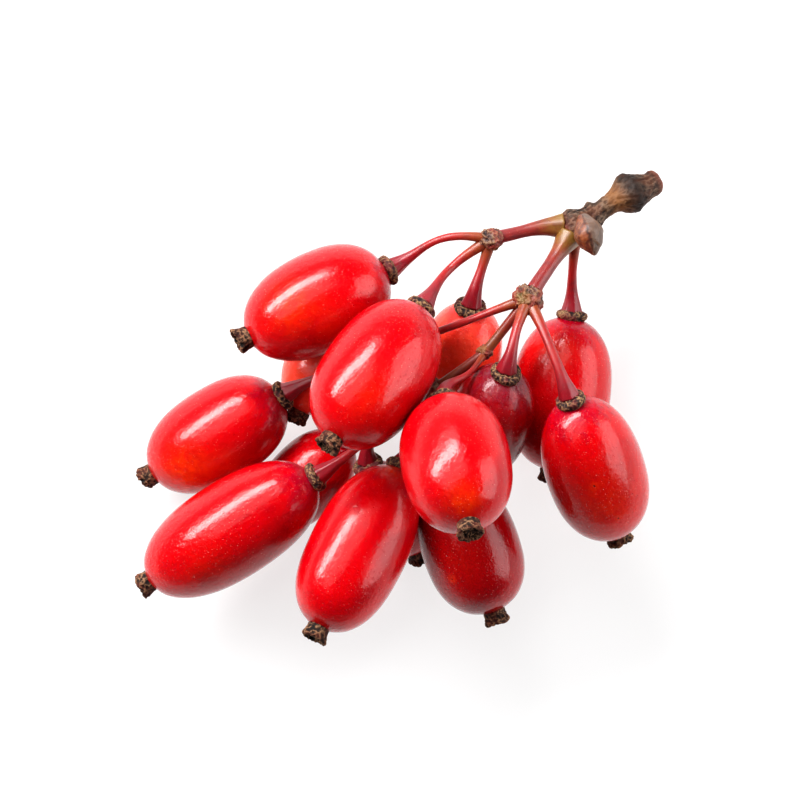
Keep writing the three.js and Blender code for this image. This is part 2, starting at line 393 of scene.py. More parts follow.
def makeLengthGrain():
    # fine streaks that run along a stalk or twig
    group, given, made = newGroup("lengthGrain", {
        "Vector": ("Vector", None),
        "PerMm": ("Float", 6.0),
        "Stretch": ("Float", 0.2),
    }, {"Mask": "Float"})
    squeeze = group.nodes.new("ShaderNodeCombineXYZ")
    squeeze.inputs[0].default_value = 1.0
    squeeze.inputs[1].default_value = 1.0
    feed(group, squeeze.inputs[2], given["Stretch"])
    scaled = group.nodes.new("ShaderNodeVectorMath")
    scaled.operation = "MULTIPLY"
    feed(group, scaled.inputs[0], given["Vector"])
    feed(group, scaled.inputs[1], squeeze.outputs[0])
    feed(group, made["Mask"], cloud(group, scaled.outputs[0], given["PerMm"], 4.0, 0.6))
    return group


def makeBlemish():
    # a small dark prick with an orange ring round it
    group, given, made = newGroup("blemish", {
        "Vector": ("Vector", None),
        "Spot": ("Vector", None),
        "Radius": ("Float", 0.1),
    }, {"Core": "Float", "Halo": "Float"})
    gap = group.nodes.new("ShaderNodeVectorMath")
    gap.operation = "DISTANCE"
    feed(group, gap.inputs[0], given["Vector"])
    feed(group, gap.inputs[1], given["Spot"])
    ragged = maths(group, "MULTIPLY_ADD", cloud(group, given["Vector"], 7.0), 0.16, -0.08)
    away = maths(group, "ADD", gap.outputs["Value"], ragged)
    core = maths(group, "MULTIPLY", given["Radius"], 0.3)
    halo = maths(group, "MULTIPLY", given["Radius"], 5.0)
    feed(group, made["Core"], between(group, away, given["Radius"], core))
    feed(group, made["Halo"], between(group, away, halo, given["Radius"]))
    return group


twoTone = makeTwoTone()
skinDots = makeSkinDots()
corkColour = makeCorkColour()
lengthGrain = makeLengthGrain()
blemish = makeBlemish()
print("shared effects ready")


# Berries

skinColours = {
    "red": {
        "ripe": (0.54, 0.0003, 0.004, 1),
        "deep": (0.39, 0.0, 0.005, 1),
        "stem": (0.33, 0.001, 0.017, 1),
    },
    "dark": {
        "ripe": (0.34, 0.0, 0.003, 1),
        "deep": (0.24, 0.0, 0.004, 1),
        "stem": (0.18, 0.002, 0.014, 1),
    },
    "orange": {
        "ripe": (0.92, 0.085, 0.05, 1),
        "deep": (0.82, 0.045, 0.035, 1),
        "stem": (0.7, 0.035, 0.03, 1),
    },
}
skinValues = {
    "warmColour": (0.78, 0.045, 0.0, 1),
    # pale dot colour: lenticels, and partly painted glints where the pores catch light
    "paleDotsAndGlints": (0.85, 0.32, 0.24, 1),
    "bloomColour": (0.26, 0.09, 0.12, 1),
    "prickColour": (0.03, 0.002, 0.0, 1),
    "prickHalo": 0.32,
    "patchesPerMm": 0.35,
    "streaksPerMm": 1.6,
    "streaks": 0.4,
    "stemReach": 0.16,  # share of the berry's length
    "stemShade": 0.85,
    "dotsPerMm": 6.0,
    "dotSize": 0.23,  # share of the gap between dots
    "dots": 0.42,
    "smoothest": 0.09,
    "roughGrain": 0.13,
    "poresPerMm": 4.6,
    "poreSize": 0.26,
    "pores": 1.5,
    "wrinkles": 2.2,
    "peelPerMm": 3.6,
    "peel": 1.3,
    "relief": 0.034 * mm,
    "settings": {
        "IOR": 1.34,
        "Subsurface Weight": 0.4,
        "Subsurface Radius": (1.0, 0.12, 0.06),
        "Subsurface Scale": 1.2 * mm,
        "Coat Weight": 0.3,
        "Coat Roughness": 0.11,
        "Coat IOR": 1.5,
    },
}
berryShape = {
    "sides": 96,
    "rows": 76,
    "flatEnd": 0.3 * mm,
    "waves": 0.012,  # share of the radius
    "wavesPerMm": 0.16,
    "oval": 0.012,
}
# warm: places with orange skin, as along (-1 stem to 1 tip), degrees round from the face,
# size in mm and strength; pricks: along, degrees round, radius in mm; bloom: how much of it
berryLooks = {
    "a": {"colour": "red", "warm": [(0.42, 8, 1.6, 0.6), (0.1, -30, 1.2, 0.3)]},
    "b": {"colour": "red", "warm": [(0.55, -10, 1.6, 0.25)]},
    "c": {"colour": "red", "warm": [(0.45, -25, 1.7, 0.8), (0.0, -40, 1.2, 0.4)]},
    "d": {"colour": "red", "warm": [(0.3, -30, 1.6, 0.2)]},
    "e": {"colour": "red", "warm": [(-0.9, 15, 0.7, 0.8)]},
    "f": {"colour": "red", "warm": [(0.9, 0, 1.0, 0.8)]},
    "g": {"colour": "dark", "warm": [(0.1, 20, 1.6, 0.1)], "pricks": [(0.31, 36, 0.09)]},
    "h": {"colour": "red", "warm": [(0.2, 0, 2.6, 0.35)], "pricks": [(-0.13, 10, 0.09), (0.44, -4, 0.06)]},
    "i": {"colour": "red", "warm": [(-0.6, 20, 1.2, 0.4)]},
    "j": {"colour": "dark", "warm": [], "bloom": 0.15},
    "k": {"colour": "orange", "warm": [(0.0, 10, 2.5, 0.9)]},
    "l": {"colour": "orange", "warm": [(0.3, 30, 2.0, 0.5)]},
    "m": {"colour": "red", "warm": []},
    "n": {"colour": "red", "warm": []},
}


def measureBerry(letter):
    capMiddle = middleOf("cap_" + letter)
    rings = readRings("berry_" + letter, 2 * middleOf("berry_" + letter) - capMiddle)
    stem, tip = rings[0][0], rings[-1][0]
    axis = unit(tip - stem)
    side, face = sidesOf(axis)
    stops = []
    for ring in rings[1:-1]:
        offset = ring - stem
        height = offset @ axis
        radius = np.linalg.norm(offset - height[:, None] * axis, axis=1)
        stops.append((radius.max(), np.median(height)))
    return {
        "stem": stem, "tip": tip, "axis": axis, "side": side, "face": face,
        "length": np.linalg.norm(tip - stem), "stops": stops,
    }


berries = {letter: measureBerry(letter) for letter in letters}


def placeOnBerry(berry, along, degrees):
    # a point of the skin, from its place along the axis and round it
    heights = [height for radius, height in berry["stops"]]
    radii = [radius for radius, height in berry["stops"]]
    height = (along + 1) / 2 * berry["length"]
    radius = np.interp(height, heights, radii)
    turn = math.radians(degrees)
    return (berry["stem"] + height * berry["axis"]
            + radius * (math.cos(turn) * berry["face"] + math.sin(turn) * berry["side"]))


def makeSkin(letter):
    look = berryLooks[letter]
    berry = berries[letter]
    colours = skinColours[look["colour"]]
    values = skinValues
    material, tree, shader = newMaterial("skin_" + letter, values["settings"])
    place = inMillimetres(tree, trait(tree, "place", "Vector"))
    along = trait(tree, "along")
    colour = useGroup(tree, twoTone, Vector=place, First=colours["ripe"], Second=colours["deep"],
                      PerMm=values["patchesPerMm"], Balance=0.6)["Color"]
    # lengthwise streaks, and crimson with a ragged edge towards the stalk
    streaks = useGroup(tree, lengthGrain, Vector=place, PerMm=values["streaksPerMm"], Stretch=0.25)["Mask"]
    streaked = maths(tree, "MULTIPLY", between(tree, streaks, 0.45, 0.7), values["streaks"])
    colour = blend(tree, streaked, colour, colours["deep"])
    stemLine = maths(tree, "MULTIPLY_ADD", streaks, 0.3, 0.02)
    stemShade = between(tree, along, stemLine, maths(tree, "SUBTRACT", stemLine, values["stemReach"]))
    colour = blend(tree, maths(tree, "MULTIPLY", stemShade, values["stemShade"]), colour, colours["stem"])
    mottled = between(tree, cloud(tree, place, 1.8, 4.0), 0.3, 0.7)
    warmth = maths(tree, "MULTIPLY", trait(tree, "warmth"), maths(tree, "MULTIPLY_ADD", mottled, 0.6, 0.4))
    colour = blend(tree, warmth, colour, values["warmColour"])
    if "bloom" in look:
        haze = maths(tree, "MULTIPLY", between(tree, along, 0.32, 0.03), look["bloom"])
        haze = maths(tree, "MULTIPLY", haze, between(tree, cloud(tree, place, 3.0, 5.0), 0.3, 0.65))
        colour = blend(tree, haze, colour, values["bloomColour"])
    # pale dots: lenticels, and partly painted glints where the pores catch light
    fineDots = useGroup(tree, skinDots, Vector=place, PerMm=values["dotsPerMm"],
                        Size=values["dotSize"], Share=0.65)["Mask"]
    zones = between(tree, cloud(tree, place, 0.55, 2.0), 0.36, 0.56)
    dotsAndGlints = maths(tree, "MULTIPLY", maths(tree, "MULTIPLY", fineDots, zones), values["dots"])
    colour = blend(tree, dotsAndGlints, colour, values["paleDotsAndGlints"])
    for alongPrick, degrees, radius in look.get("pricks", []):
        spot = placeOnBerry(berry, alongPrick, degrees)
        here = inMillimetres(tree, tree.nodes.new("ShaderNodeTexCoord").outputs["Object"])
        mark = useGroup(tree, blemish, Vector=here, Spot=tuple(spot / mm), Radius=radius)
        halo = maths(tree, "MULTIPLY", mark["Halo"], values["prickHalo"])
        colour = blend(tree, halo, colour, values["warmColour"])
        colour = blend(tree, mark["Core"], colour, values["prickColour"])
    feed(tree, shader["Base Color"], colour)
    grain = cloud(tree, place, 5.0, 3.0)
    rough = maths(tree, "MULTIPLY_ADD", grain, values["roughGrain"], values["smoothest"])
    feed(tree, shader["Roughness"], rough)
    # pores, a faint orange-peel and wrinkles near the stalk
    pores = useGroup(tree, skinDots, Vector=place, PerMm=values["poresPerMm"],
                     Size=values["poreSize"], Share=0.6)["Mask"]
    wrinkles = maths(tree, "MULTIPLY", streaks, maths(tree, "MULTIPLY", stemShade, values["wrinkles"]))
    relief = maths(tree, "ADD", maths(tree, "MULTIPLY", pores, -values["pores"]), wrinkles)
    peel = maths(tree, "MULTIPLY", cloud(tree, place, values["peelPerMm"], 4.0), values["peel"])
    relief = maths(tree, "ADD", relief, peel)
    feed(tree, shader["Normal"], addBump(tree, relief, values["relief"]))
    return material


def buildBerry(letter):
    berry = berries[letter]
    seed = letters.index(letter)
    flat = berryShape["flatEnd"]
    start = [(0.0, 0.0), (flat, 0.0)]
    end = [(flat, berry["length"]), (0.0, berry["length"])]
    stops = start + berry["stops"] + end
    rows = turnedRows(berry["stem"], berry["axis"], stops, berryShape["rows"], berryShape["sides"])
    centre = berry["stem"] + ((rows - berry["stem"]) @ berry["axis"])[..., None] * berry["axis"]
    spoke = rows - centre
    waves = swell(rows, berryShape["wavesPerMm"], seed) * berryShape["waves"]
    angles = roundTurn(berryShape["sides"])
    oval = np.cos(2 * (angles - seed))[None, :] * berryShape["oval"]
    rows = centre + spoke * (1 + waves + oval)[..., None]
    along = np.clip(((rows - berry["stem"]) @ berry["axis"]) / berry["length"], 0, 1)
    local = rows - berry["stem"]
    place = np.stack([local @ berry["face"], local @ berry["side"], local @ berry["axis"]], axis=2)
    place += seed * 13 * mm
    warmth = np.zeros(rows.shape[:2])
    for alongWarm, degrees, size, strength in berryLooks[letter]["warm"]:
        gap = np.linalg.norm(rows - placeOnBerry(berry, alongWarm, degrees), axis=2) / mm
        warmth = np.maximum(warmth, strength * np.exp(-((gap / size) ** 2)))
    rows[..., 2] = np.maximum(rows[..., 2], 0)
    piece = meshFromRows("berry_skin_" + letter, rows, {"place": place, "along": along, "warmth": warmth})
    slotName = "berry_" + berryLooks[letter]["colour"]
    finishPiece(piece, makeSkin(letter), slotName, "berry_" + letter)


for letter in letters:
    buildBerry(letter)
print("berries done")


# Dried blossom caps

capLook = {
    "rows": 64,
    "sides": 84,
    "crinkle": 0.075 * mm,
    "crinklesPerMm": 3.8,
    "raggedRim": 0.10,  # share of the radius
    "lumpsPerMm": 0.9,
    "firstSeed": 40,
    "settings": {"Roughness": 0.8, "Specular IOR Level": 0.35},
    "colours": {
        "Crack": (0.0041, 0.002, 0.0014, 1),
        "Slope": (0.034, 0.014, 0.0075, 1),
        "Ridge": (0.245, 0.129, 0.068, 1),
        "Warm": (0.109, 0.017, 0.0082, 1),
        "WarmShare": 0.5,
    },
    # outline from the skin up the wall, over the rim and into the face: shares of radius and height
    "outline": [
        (0.0, -0.30), (0.55, -0.32), (0.84, -0.26), (0.90, 0.0), (0.88, 0.3), (0.91, 0.60), (0.98, 0.86),
        (0.99, 1.0), (0.90, 1.06), (0.76, 0.98), (0.66, 0.82), (0.52, 0.72), (0.40, 0.80), (0.26, 0.88),
        (0.12, 0.80), (0.0, 0.72),
    ],
}


def makeCork(name, look, gritHeight=0.03 * mm):
    material, tree, shader = newMaterial(name, look["settings"])
    place = inMillimetres(tree, tree.nodes.new("ShaderNodeTexCoord").outputs["Object"])
    made = useGroup(tree, corkColour, Vector=place, Relief=trait(tree, "relief"), **look["colours"])
    colour = made["Color"]
    for title, tint in look.get("tints", {}).items():
        colour = blend(tree, trait(tree, title), colour, tint)
    feed(tree, shader["Base Color"], colour)
    feed(tree, shader["Normal"], addBump(tree, made["Height"], gritHeight))
    return material


capCork = makeCork("capCork", capLook)


def buildCap(letter):
    berry = berries[letter]
    seed = capLook["firstSeed"] + letters.index(letter)
    rings = readRings("cap_" + letter, berry["tip"])
    base = rings[0][0]
    axis = berry["axis"]
    rim = max(rings[1:-1], key=lambda ring: np.linalg.norm(ring - ring.mean(0), axis=1).mean())
    radius = np.linalg.norm(rim - rim.mean(0), axis=1).mean()
    height = np.dot(rim.mean(0) - base, axis)
    outline = [(r * radius, h * height) for r, h in capLook["outline"]]
    rows = turnedRows(base, axis, outline, capLook["rows"], capLook["sides"])
    level = ((rows - base) @ axis) / height
    lumps = swell(rows, capLook["lumpsPerMm"], seed)
    flare = np.clip(level, 0, 1)[..., None]
    rows += (rows - base) * lumps[..., None] * flare * capLook["raggedRim"]
    relief = ridges(rows, capLook["crinklesPerMm"], 3, seed)
    rows += rowNormals(rows) * (relief * capLook["crinkle"] * np.clip(level + 0.3, 0, 1))[..., None]
    piece = meshFromRows("blossom_" + letter, rows, {"relief": relief})
    finishPiece(piece, capCork, "blossom_cap", "cap_" + letter)


for letter in letters:
    buildCap(letter)
print("caps done")


# Stalks and their corky collars

stalkLook = {
    "sides": 32,
    "spacing": 0.09 * mm,
    "lumps": 0.05,  # share of the radius
    "furrows": 0.05,  # on the flare, share of the radius
    "furrowCount": 7,
    "lumpsPerMm": 0.8,
    "streaksPerMm": 7.0,
    "dotsPerMm": 9.0,
    "duskyColour": (0.12, 0.015, 0.02, 1),
    "dusky": 0.45,
    "dotColour": (0.5, 0.2, 0.14, 1),
    "dots": 0.45,
    "relief": 0.02 * mm,
    "intoKnuckle": 0.35 * mm,
    "swellings": {"pedicel": 1.25, "peduncle": 1.5, "rachis": 1.1},  # where they start
    "endSwelling": 1.15,
    "softening": 60,  # how much the bends and the flare are evened out
    "settings": {
        "Roughness": 0.38,
        "IOR": 1.45,
        "Subsurface Weight": 0.15,
        "Subsurface Radius": (1.0, 0.3, 0.15),
        "Subsurface Scale": 0.15 * mm,
        "Coat Weight": 0.25,
        "Coat Roughness": 0.25,
    },
}
# colours from the knuckle to the berry
stalkColours = {
    "pedicel": [(0.25, 0.055, 0.016, 1), (0.33, 0.014, 0.014, 1), (0.23, 0.005, 0.014, 1)],
    "peduncle": [(0.21, 0.105, 0.022, 1), (0.24, 0.028, 0.018, 1), (0.21, 0.018, 0.018, 1)],
    "rachis": [(0.22, 0.028, 0.012, 1), (0.19, 0.009, 0.01, 1), (0.18, 0.045, 0.014, 1)],
}


def makeStalk(name):
    atKnuckle, inMiddle, atBerry = stalkColours[name]
    material, tree, shader = newMaterial(name + "Skin", stalkLook["settings"])
    place = inMillimetres(tree, trait(tree, "place", "Vector"))
    streaks = useGroup(tree, lengthGrain, Vector=place, PerMm=stalkLook["streaksPerMm"],
                       Stretch=0.18)["Mask"]
    wander = maths(tree, "MULTIPLY_ADD", streaks, 1.6, -0.8)
    # both changes of colour are given in mm from the stalk's ends
    fromStart = maths(tree, "ADD", trait(tree, "fromStart"), wander)
    fromEnd = maths(tree, "ADD", trait(tree, "fromEnd"), wander)
    colour = blend(tree, between(tree, fromStart, 0.1, 2.2), atKnuckle, inMiddle)
    colour = blend(tree, between(tree, fromEnd, 3.0, 0.6), colour, atBerry)
    dusky = maths(tree, "MULTIPLY", between(tree, cloud(tree, place, 2.2), 0.45, 0.7), stalkLook["dusky"])
    colour = blend(tree, dusky, colour, stalkLook["duskyColour"])
    dots = useGroup(tree, skinDots, Vector=place, PerMm=stalkLook["dotsPerMm"], Size=0.25, Share=0.4)["Mask"]
    colour = blend(tree, maths(tree, "MULTIPLY", dots, stalkLook["dots"]), colour, stalkLook["dotColour"])
    feed(tree, shader["Base Color"], colour)
    feed(tree, shader["Roughness"], maths(tree, "MULTIPLY_ADD", streaks, 0.25, 0.25))
    relief = maths(tree, "ADD", streaks, maths(tree, "MULTIPLY", dots, 0.3))
    feed(tree, shader["Normal"], addBump(tree, relief, stalkLook["relief"]))
    return material


stalkSkins = {name: makeStalk(name) for name in stalkColours}


def pathOf(name, startNear):
    # middle line and radius of a bar
    rings = readRings(name, startNear)[1:-1]
    return np.array([[*ring.mean(0), np.linalg.norm(ring - ring.mean(0), axis=1).mean()] for ring in rings])


def grownFrom(path, reach, swelling):
    # lets a stalk start a little inside what it grows from, slightly swollen
    back = unit(path[0, :3] - path[1, :3])
    start = path[0].copy()
    start[:3] += back * reach
    start[3] *= swelling
    return np.vstack([start, path])


def buildStalk(name, path, colour, slotName, seed):
    dense = relaxed(smoothThrough(path, 8 * len(path)), stalkLook["softening"])
    rows, place, distance = sweptRows(dense, stalkLook["sides"], stalkLook["spacing"])
    centre = rows.mean(1, keepdims=True)
    thick = np.linalg.norm(rows - centre, axis=2)
    slim = np.median(thick)
    flare = np.clip((thick - slim) / slim, 0, 1)
    angles = roundTurn(stalkLook["sides"])
    furrows = np.cos(stalkLook["furrowCount"] * angles + seed)[None, :] * flare * stalkLook["furrows"]
    lumps = swell(rows, stalkLook["lumpsPerMm"], seed) * stalkLook["lumps"]
    rows = centre + (rows - centre) * (1 + furrows + lumps)[..., None]
    place = place + seed * 3 * mm
    fromStart = np.repeat(distance[:, None] / mm, stalkLook["sides"], axis=1)
    fromEnd = fromStart[::-1]
    piece = meshFromRows("stalk_" + name, rows, {"place": place, "fromStart": fromStart, "fromEnd": fromEnd})
    finishPiece(piece, stalkSkins[colour], slotName, name)


collarLook = {
    "rows": 46,
    "sides": 96,
    "crinkle": 0.06 * mm,
    "crinklesPerMm": 4.0,
    "ragged": 0.10,
    "lumpsPerMm": 0.8,
    "firstSeed": 20,
    "height": 0.55 * mm,
    "stalkShare": 0.72,  # the stalk's width where it meets the collar
    "settings": {"Roughness": 0.75, "Specular IOR Level": 0.4},
    "colours": {
        "Crack": (0.0068, 0.0034, 0.0027, 1),
        "Slope": (0.054, 0.02, 0.014, 1),
        "Ridge": (0.286, 0.163, 0.075, 1),
        "Warm": (0.136, 0.01, 0.017, 1),
        "WarmShare": 0.55,
    },
    # from under the rim, over it and up to the stalk: shares of the collar's radius and height
    "outline": [
        (0.0, -0.45), (0.62, -0.45), (0.90, -0.15), (1.0, 0.12), (1.0, 0.38), (0.92, 0.58), (0.78, 0.66),
        (0.62, 0.80), (0.46, 1.0), (0.30, 1.15), (0.0, 1.2),
    ],
}
collarCork = makeCork("collarCork", collarLook)


def buildPedicel(letter):
    berry = berries[letter]
    seed = letters.index(letter)
    name = "pedicel_" + letter
    path = pathOf(name, middleOf("knuckle_lower"))
    if np.linalg.norm(path[0, :3] - berry["stem"]) < np.linalg.norm(path[-1, :3] - berry["stem"]):
        path = path[::-1]
    rim = path[:, 3].argmax()
    collarRadius = path[rim, 3]
    collarBase = path[-1, :3]
    shaft = path[:rim].copy()
    shaft[:, 3] = np.minimum(shaft[:, 3], collarLook["stalkShare"] * collarRadius)
    shaft = grownFrom(shaft, stalkLook["intoKnuckle"], stalkLook["swellings"]["pedicel"])
    buildStalk(name, shaft, "pedicel", "pedicel", seed)
    outline = [(r * collarRadius, h * collarLook["height"]) for r, h in collarLook["outline"]]
    rows = turnedRows(collarBase, -berry["axis"], outline, collarLook["rows"], collarLook["sides"])
    collarSeed = collarLook["firstSeed"] + seed
    lumps = swell(rows, collarLook["lumpsPerMm"], collarSeed)
    rows += (rows - collarBase) * (lumps * collarLook["ragged"])[..., None]
    relief = ridges(rows, collarLook["crinklesPerMm"], 3, collarSeed)
    rows += rowNormals(rows) * (relief * collarLook["crinkle"])[..., None]
    rows[..., 2] = np.maximum(rows[..., 2], 0)
    collar = meshFromRows("collar_" + letter, rows, {"relief": relief})
    finishPiece(collar, collarCork, "pedicel", name)


for letter in letters:
    buildPedicel(letter)
print("pedicels and collars done")

# stalks between two knuckles, and their colour
peduncles = {
    "peduncle_upper": "peduncle",
    "peduncle_lower": "peduncle",
    "rachis_upper": "rachis",
    "rachis_lower": "rachis",
}
firstPeduncleSeed = 30


def buildPeduncle(name, colour, seed):
    reach = stalkLook["intoKnuckle"]
    path = grownFrom(pathOf(name, middleOf("twig")), reach, stalkLook["swellings"][colour])
    path = grownFrom(path[::-1], reach, stalkLook["endSwelling"])[::-1]
    buildStalk(name, path, colour, "peduncle", seed)


for order, (name, colour) in enumerate(peduncles.items()):
    buildPeduncle(name, colour, firstPeduncleSeed + order)
print("peduncles done")


# Knuckles where stalks part

knuckleLook = {
    "rows": 64,
    "sides": 72,
    "crinkle": 0.13 * mm,
    "crinklesPerMm": 2.2,
    "lumps": 0.14,
    "lumpsPerMm": 0.9,
    "firstSeed": 60,
    "settings": {"Roughness": 0.6, "Specular IOR Level": 0.5, "Coat Weight": 0.15, "Coat Roughness": 0.3},
    "colours": {
        "Crack": (0.014, 0.0041, 0.0027, 1),
        "Slope": (0.075, 0.024, 0.014, 1),
        "Ridge": (0.22, 0.11, 0.055, 1),
        "Warm": (0.286, 0.02, 0.014, 1),
        "WarmShare": 0.45,
    },
    "tints": {"ruddy": (0.272, 0.015, 0.012, 1), "green": (0.231, 0.163, 0.034, 1)},
}
knuckleCork = makeCork("knuckleCork", knuckleLook)


def buildKnuckle(name, seed):
    rings = readRings(name, middleOf("twig"))
    start, end = rings[0][0], rings[-1][0]
    middle = (start + end) / 2
    axis = unit(end - start)
    half = np.linalg.norm(end - start) / 2
    across = max(np.linalg.norm(ring - ring.mean(0), axis=1).mean() for ring in rings[1:-1])
    outline = [(across * math.sin(a), -half * math.cos(a)) for a in np.linspace(0, math.pi, 9)]
    rows = turnedRows(middle, axis, outline, knuckleLook["rows"], knuckleLook["sides"])
    lumps = swell(rows, knuckleLook["lumpsPerMm"], seed)
    rows += (rows - middle) * (lumps * knuckleLook["lumps"])[..., None]
    level = ((rows - middle) @ axis) / half
    relief = ridges(rows, knuckleLook["crinklesPerMm"], 3, seed)
    rows += rowNormals(rows) * (relief * knuckleLook["crinkle"])[..., None]
    # red on the lumps, yellow-green where the stalks leave
    ruddy = np.clip(lumps * 1.6, 0, 0.75) * np.clip(0.9 - 0.3 * relief, 0, 1)
    green = np.clip(level * 1.6 - 1.1, 0, 0.4)
    piece = meshFromRows("corky_" + name, rows, {"relief": relief, "ruddy": ruddy, "green": green})
    finishPiece(piece, knuckleCork, "knuckle", name)


for order, name in enumerate(["knuckle_upper", "knuckle_lower", "knuckle_rachis", "knuckle_hidden"]):
    buildKnuckle(name, knuckleLook["firstSeed"] + order)
print("knuckles done")


# Twig

twigLook = {
    "sides": 96,
    "spacing": 0.06 * mm,
    "crinkle": 0.06 * mm,
    "crinklesPerMm": 3.4,
    "lumps": 0.08 * mm,
    "lumpsPerMm": 0.9,
    "seed": 80,
    "grain": 0.45,  # how much the crinkles are drawn out along the twig
    "roundedEnd": 0.7 * mm,
    "settings": {"Roughness": 0.5, "Specular IOR Level": 0.2},
    "colours": {
        "Crack": (0.0082, 0.0054, 0.0048, 1),
        "Slope": (0.05, 0.028, 0.019, 1),
        "Ridge": (0.15, 0.095, 0.065, 1),
        "Warm": (0.15, 0.045, 0.02, 1),
        "WarmShare": 0.35,
    },
    "tints": {
        "tan": (0.23, 0.10, 0.035, 1),
        "dusk": (0.02, 0.012, 0.01, 1),
        "lip": (0.20, 0.035, 0.02, 1),
        "cutEnd": (0.22, 0.06, 0.035, 1),
    },
    # stretches of other bark: along (0 at the cut end), reach, strength
    "stretches": {
        "tan": (0.45, 0.09, 0.6),
        "dusk": (0.27, 0.09, 0.75),
        "lip": (1.0, 0.07, 0.7),
        "cutEnd": (0.0, 0.05, 0.6),
    },
    # knobs: along (0 at the cut end), degrees round from the face, size in mm, height in mm
    "knobs": [(0.33, 92, 0.5, 0.16), (0.36, -85, 0.55, 0.1), (0.66, 90, 0.28, 0.26)],
}
twigBark = makeCork("twigBark", twigLook)


def buildTwig():
    path = pathOf("twig", np.array(cadHigh))
    if path[0, 0] < path[-1, 0]:
        path = path[::-1]
    dense = smoothThrough(path, 8 * len(path))
    rows, place, distance = sweptRows(dense, twigLook["sides"], twigLook["spacing"])
    centre = rows.mean(1, keepdims=True)
    outward = (rows - centre) / np.linalg.norm(rows - centre, axis=2, keepdims=True)
    for alongKnob, degrees, size, height in twigLook["knobs"]:
        r = int(alongKnob * (len(rows) - 1))
        s = int(degrees % 360 / 360 * twigLook["sides"])
        gap = np.linalg.norm(rows - rows[r, s], axis=2) / mm
        rows = rows + outward * (height * mm * np.exp(-((gap / size) ** 2)))[..., None]
    seed = twigLook["seed"]
    rows += outward * (swell(rows, twigLook["lumpsPerMm"], seed) * twigLook["lumps"])[..., None]
    nearCut = 1 - np.clip(distance / twigLook["roundedEnd"], 0, 1)
    rows = centre + (rows - centre) * np.sqrt(1 - 0.85 * nearCut**2)[:, None, None]
    stretched = place * np.array([1.0, 1.0, twigLook["grain"]])
    relief = ridges(stretched, twigLook["crinklesPerMm"], 4, seed)
    rows += outward * (relief * twigLook["crinkle"])[..., None]
    traits = {"relief": relief}
    share = (distance / distance[-1])[:, None]
    for title, (alongTwig, reach, strength) in twigLook["stretches"].items():
        band = np.exp(-(((share - alongTwig) / reach) ** 2)) * strength
        traits[title] = np.clip(band * (1 + 0.35 * relief), 0, 1)
    piece = meshFromRows("bark_twig", rows, traits)
    finishPiece(piece, twigBark, "twig_bark", "twig")


buildTwig()
print("twig done")


# Bud beside the fork

budLook = {
    "rows": 64,
    "sides": 72,
    "crinkle": 0.03 * mm,
    "crinklesPerMm": 2.2,
    "settings": {"Roughness": 0.45, "Specular IOR Level": 0.5, "Coat Weight": 0.2, "Coat Roughness": 0.25},
    "colours": {
        "Crack": (0.027, 0.0054, 0.0041, 1),
        "Slope": (0.10, 0.022, 0.012, 1),
        "Ridge": (0.24, 0.09, 0.04, 1),
        "Warm": (0.306, 0.082, 0.02, 1),
        "WarmShare": 0.5,
    },
    "tints": {
        "grey": (0.11, 0.075, 0.055, 1),
        "edge": (0.31, 0.17, 0.08, 1),
        "seam": (0.015, 0.005, 0.004, 1),
    },
    "seed": 90,
    "neck": 0.35 * mm,
    "neckDrop": 0.7 * mm,
    "greyWay": (0.96, -0.1, 0.0),
    "scaleThickness": 0.08 * mm,
    # scales, the outermost last: degrees round, share of the bud's length, half width in degrees
    "scales": [
        (40, 0.98, 75), (200, 0.95, 80), (290, 0.82, 80),
        (120, 0.74, 78), (10, 0.62, 70), (235, 0.50, 75),
    ],
}
budSkin = makeCork("budSkin", budLook)


def buildBud():
    rings = readRings("bud", middleOf("twig"))
    base, tip = rings[0][0], rings[-1][0]
    axis = unit(tip - base)
    # a neck lets it grow out of the twig
    neck = budLook["neck"]
    stops = [(0.0, -neck), (0.5 * neck, -neck)]
    for ring in rings[1:-1]:
        stops.append((np.linalg.norm(ring - ring.mean(0), axis=1).mean(), np.dot(ring.mean(0) - base, axis)))
    stops.append((0.0, np.linalg.norm(tip - base)))
    rows = turnedRows(base, axis, stops, budLook["rows"], budLook["sides"])
    relief = 0.3 + 0.5 * ridges(rows, budLook["crinklesPerMm"], 3, budLook["seed"])
    level = ((rows - base) @ axis) / stops[-1][1]
    step = np.zeros_like(relief)
    edge = np.zeros_like(relief)
    roundBud = np.degrees(roundTurn(budLook["sides"]))
    for k, (degrees, top, halfWidth) in enumerate(budLook["scales"]):
        turned = np.abs((roundBud - degrees + 180) % 360 - 180)[None, :] / halfWidth
        # 1 inside a pointed scale, 0 outside
        depth = 1 - turned**2 - (np.clip(level, 0, 1) / top) ** 2.5
        inside = np.clip(depth * 12, 0, 1)
        step = np.maximum(step, inside * (0.45 + 0.16 * k))
        edge = np.where(inside > 0, np.clip(1 - depth * 6, 0, 1) * 0.7 * inside, edge)
    rows += rowNormals(rows) * (step * budLook["scaleThickness"] + relief * budLook["crinkle"])[..., None]
    outward = rows - rows.mean(1, keepdims=True)
    outward /= np.maximum(np.linalg.norm(outward, axis=2, keepdims=True), 1e-9)
    # greyer on one side of a dark seam
    across = outward @ np.array(budLook["greyWay"]) + 0.15 * relief
    grey = np.clip((across - 0.05) * 6, 0, 0.8)
    seam = np.exp(-((across / 0.09) ** 2)) * 0.85
    rows[..., 2] -= budLook["neckDrop"] * np.clip((0.14 - level) / 0.3, 0, 1)
    piece = meshFromRows("scaly_bud", rows, {"relief": relief, "grey": grey, "edge": edge, "seam": seam})
    finishPiece(piece, budSkin, "bud", "bud")


buildBud()
print("bud done")


# Table, light and camera

